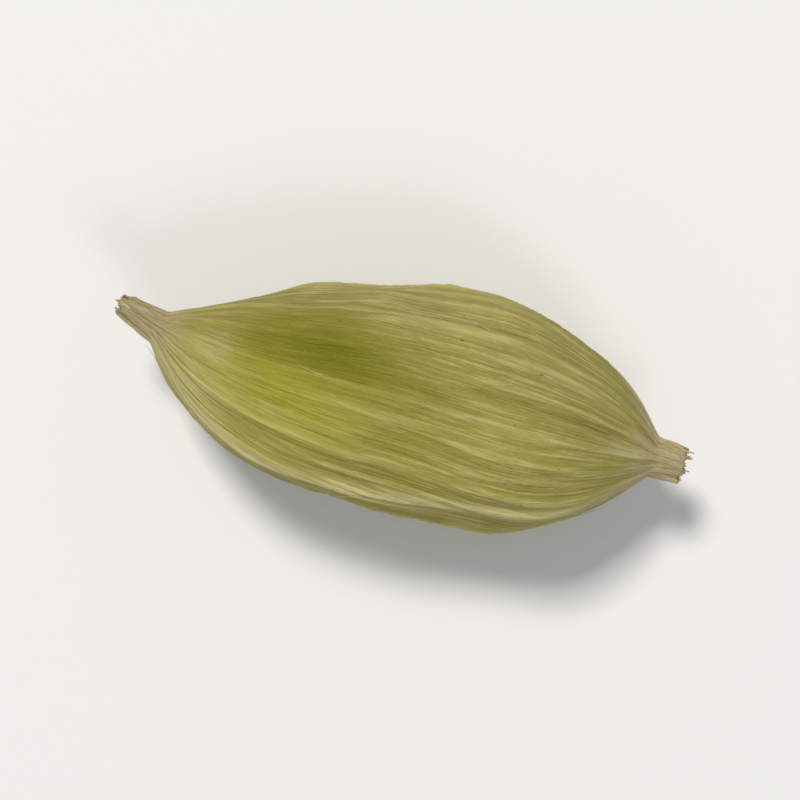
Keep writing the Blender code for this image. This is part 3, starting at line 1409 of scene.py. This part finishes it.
@dataclass
class StalkFibres:
    """Bundles of fibre that stand out of the broken stalk."""

    form: PodForm
    home: Home
    finish: StrawFibre = StrawFibre("stalk_fibre", "#C3AC7C", "#7C6038")
    count: int = 46
    turn_step: float = 2.4
    turn_stray: float = 0.3
    spread: float = 0.78  # share of the stub's radius that the bundles fill
    reach: tuple[float, float] = (-0.12, 0.20)
    root: float = 0.35
    splay: tuple[float, float] = (-0.05, 0.12)
    twist: float = 0.25
    radius: float = 0.028
    thickness: tuple[float, float] = (0.7, 1.15)
    taper: float = 0.55
    tip_brown: float = 0.7
    seed: int = 12
    steps: int = 7
    sides: int = 6

    def build(self) -> bpy.types.Object:
        """Builds the fibres in one piece.

        Returns:
            The piece.
        """
        form = self.form
        draw = random.Random(self.seed)
        share = np.linspace(0.0, 1.0, self.steps)
        end = form.capsule_length + form.stalk_length
        bundle = Bundle()
        for index in range(self.count):
            angle = index * self.turn_step + draw.uniform(-self.turn_stray, self.turn_stray)
            out = form.stalk_radius * self.spread * math.sqrt((index + 0.5) / self.count)
            reach = draw.uniform(*self.reach)
            x = end - self.root + (self.root + reach) * share
            splay = draw.uniform(*self.splay)
            angles = angle + draw.uniform(-self.twist, self.twist) * share**2
            path = form.point(angles, x, out * (1.0 + splay * share)) + self.home.shift
            thick = self.radius * draw.uniform(*self.thickness)
            radii = thick * (1.0 - self.taper * share**3)
            tube, faces = tapered_tube(path, radii, self.sides, bundle.count())
            browning = np.repeat(share**4 * self.tip_brown, self.sides)
            places = np.repeat(form.fibre_place(angles + index, x), self.sides, axis=0)
            bundle.add(tube, faces, browning, places)
        return bundle.build("stalk_fibres", self.finish)


@dataclass
class BeakShreds:
    """Papery shreds of the flower that still stand in the beak's torn rim."""

    form: PodForm
    home: Home
    finish: StrawFibre = StrawFibre("flower_paper", "#CFC39C", "#85704C")
    count: int = 6
    turn_stray: float = 0.3
    half_widths: tuple[float, float] = (0.12, 0.24)
    reach: tuple[float, float] = (-0.05, 0.16)
    root: float = 0.45  # where a shred starts, as a share of the beak's length
    inward: float = 0.66  # the first layer's radius, as a share of the beak's
    layer_gap: float = 0.14
    splay: float = 0.5
    twist: float = 0.4
    pointed: float = 0.6  # how early a shred narrows to its tip
    edge_wave: float = 0.15
    edge_waves: float = 9.0
    ripple: float = 0.03
    ripples: float = 5.0
    curl: float = 0.10
    curls: float = 3.0
    thickness: float = 0.022
    seed: int = 21
    steps: int = 10
    across: int = 7

    def build(self) -> bpy.types.Object:
        """Builds the shreds in one piece.

        Returns:
            The piece.
        """
        form = self.form
        draw = random.Random(self.seed)
        share = np.linspace(0.0, 1.0, self.steps)[:, None]
        side = np.linspace(-1.0, 1.0, self.across)[None, :]
        root = self.root * form.beak_length
        bundle = Bundle()
        for index in range(self.count):
            middle = math.tau * index / self.count + draw.uniform(-self.turn_stray, self.turn_stray)
            half = draw.uniform(*self.half_widths)
            tip = form.beak_length + draw.uniform(*self.reach)
            x = -root - (tip - root) * share
            wall = form.beak_radius * (1.0 - form.beak_narrowing * np.clip(-x / form.beak_length, 0.0, 1.0))
            layer = self.inward - self.layer_gap * (index % 2)
            out = wall * (layer + draw.uniform(0.0, self.splay) * share**2)
            wave = 1.0 + self.edge_wave * np.sin(self.edge_waves * share + index)
            width = half * (1.0 - share**3) ** self.pointed * wave
            angle = middle + side * width / out + draw.uniform(-self.twist, self.twist) * share
            x = x + self.ripple * np.sin(self.ripples * side + index) * share
            radius = out * (1.0 + self.curl * np.cos(self.curls * side) * share)
            points = (form.point(angle, x, radius) + self.home.shift).reshape(-1, 3)
            faces = grid_faces(self.steps, self.across, bundle.count(), False)
            browning = np.broadcast_to(share**3, angle.shape).reshape(-1)
            bundle.add(points, faces, browning, form.fibre_place(angle, x).reshape(-1, 3))
        piece = bundle.build("beak_shreds", self.finish)
        solid = piece.modifiers.new("paper", "SOLIDIFY")
        solid.thickness = self.thickness * MM
        solid.offset = 0.0
        return piece


@dataclass(frozen=True)
class FloorPaper:
    """Matt white studio paper: its fibres scatter the light evenly, so it shows no gleam."""

    colour: str = "#E4E4E2"
    roughness: float = 0.9
    ior: float = 1.4

    def build(self) -> bpy.types.Material:
        """Makes the paper's material.

        Returns:
            The material.
        """
        material, tree = new_material("floor_paper")
        shader = add_node(
            tree,
            "ShaderNodeBsdfPrincipled",
            {"Base Color": linear(self.colour), "Roughness": self.roughness, "IOR": self.ior},
        )
        add_node(tree, "ShaderNodeOutputMaterial", None, {"Surface": shader.outputs["BSDF"]})
        return material


@dataclass(frozen=True)
class Lamp:
    """A square soft lamp that faces the pod, in millimetres and watts."""

    name: str
    place: tuple[float, float, float]
    size: float
    power: float
    colour: str

    def hang(self) -> None:
        """Hangs the lamp in the scene, facing the pod."""
        light = bpy.data.lights.new(self.name, "AREA")
        light.shape = "SQUARE"
        light.size = self.size * MM
        light.energy = self.power
        light.color = linear(self.colour)[:3]
        made = bpy.data.objects.new(self.name, light)
        made.location = Vector(self.place) * MM
        made.rotation_euler = (-made.location).to_track_quat("-Z", "Y").to_euler()
        bpy.context.scene.collection.objects.link(made)


@dataclass(frozen=True)
class Studio:
    """A pale floor, soft lamps and a camera that looks straight down on the pod.

    The key lamp hangs on the upper left and a weak fill opposite, far enough off to light the floor
    evenly.
    """

    floor_size: float = 12000.0
    paper: FloorPaper = FloorPaper()
    air_colour: str = "#F6F7F8"
    air_strength: float = 0.36
    lamps: tuple[Lamp, ...] = (
        Lamp("key_lamp", (-264.0, 402.0, 804.0), 210.0, 6.84, "#FFFCF6"),
        Lamp("fill_lamp", (330.0, -495.0, 645.0), 270.0, 1.53, "#F2F5FF"),
    )
    roll: float = math.radians(8)  # the stalk end is lower in the picture
    lens: float = 100.0
    sensor: float = 36.0
    view_width: float = 21.5
    nearest: float = 0.05  # nearest and furthest that the camera sees, as shares of its distance
    furthest: float = 100.0

    def floor(self) -> bpy.types.Object:
        """Makes the floor that the pod lies on.

        Returns:
            The floor.
        """
        half = self.floor_size / 2
        corners = np.array(((-half, -half, 0.0), (half, -half, 0.0), (half, half, 0.0), (-half, half, 0.0)))
        made = new_object("studio_floor", corners, [(0, 1, 2, 3)])
        made.data.materials.append(self.paper.build())
        made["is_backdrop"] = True
        return made

    def air(self) -> None:
        """Fills the room with pale even light."""
        world = bpy.data.worlds.new("studio_air")
        world.use_nodes = True
        world.node_tree.nodes.clear()
        light = add_node(
            world.node_tree,
            "ShaderNodeBackground",
            {"Color": linear(self.air_colour), "Strength": self.air_strength},
        )
        add_node(world.node_tree, "ShaderNodeOutputWorld", None, {"Surface": light.outputs["Background"]})
        bpy.context.scene.world = world

    def camera(self) -> None:
        """Looks down on the middle of the pod from as far as the lens needs."""
        low, high = CAD_BOX
        middle = (low + high) / 2
        camera = bpy.data.cameras.new("camera")
        camera.lens = self.lens
        camera.sensor_width = self.sensor
        distance = self.view_width * self.lens / self.sensor * MM
        camera.clip_start = distance * self.nearest
        camera.clip_end = distance * self.furthest
        made = bpy.data.objects.new("camera", camera)
        made.location = (middle.x, middle.y, high.z + distance)
        made.rotation_euler = (0.0, 0.0, self.roll)
        bpy.context.scene.collection.objects.link(made)
        bpy.context.scene.camera = made

    def build(self) -> None:
        """Sets up the floor, the light and the camera."""
        self.floor()
        self.air()
        for lamp in self.lamps:
            lamp.hang()
        self.camera()
        bpy.context.scene.view_settings.view_transform = "Standard"


def write_sizes() -> None:
    """Works out the solid's box and the dressed pod's box, and keeps neither."""
    boxes = {"cad": CAD_BOX, "visual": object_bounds()}
    {name: [list(corner) for corner in box] for name, box in boxes.items()}


def main() -> None:
    """Builds the pod, piece by piece, and the studio round it."""
    logging.basicConfig(level=logging.INFO, format="%(message)s")
    form = PodForm()
    home = Home.of(form)
    Studio().build()
    for maker in (Husk(form, home), BeakShreds(form, home), StalkFibres(form, home), LooseFibres(form, home)):
        piece = maker.build()
        declare(piece)
        log.info("%s: %d faces", piece.name, len(piece.data.polygons))
    write_sizes()


if __name__ == "__main__":
    main()
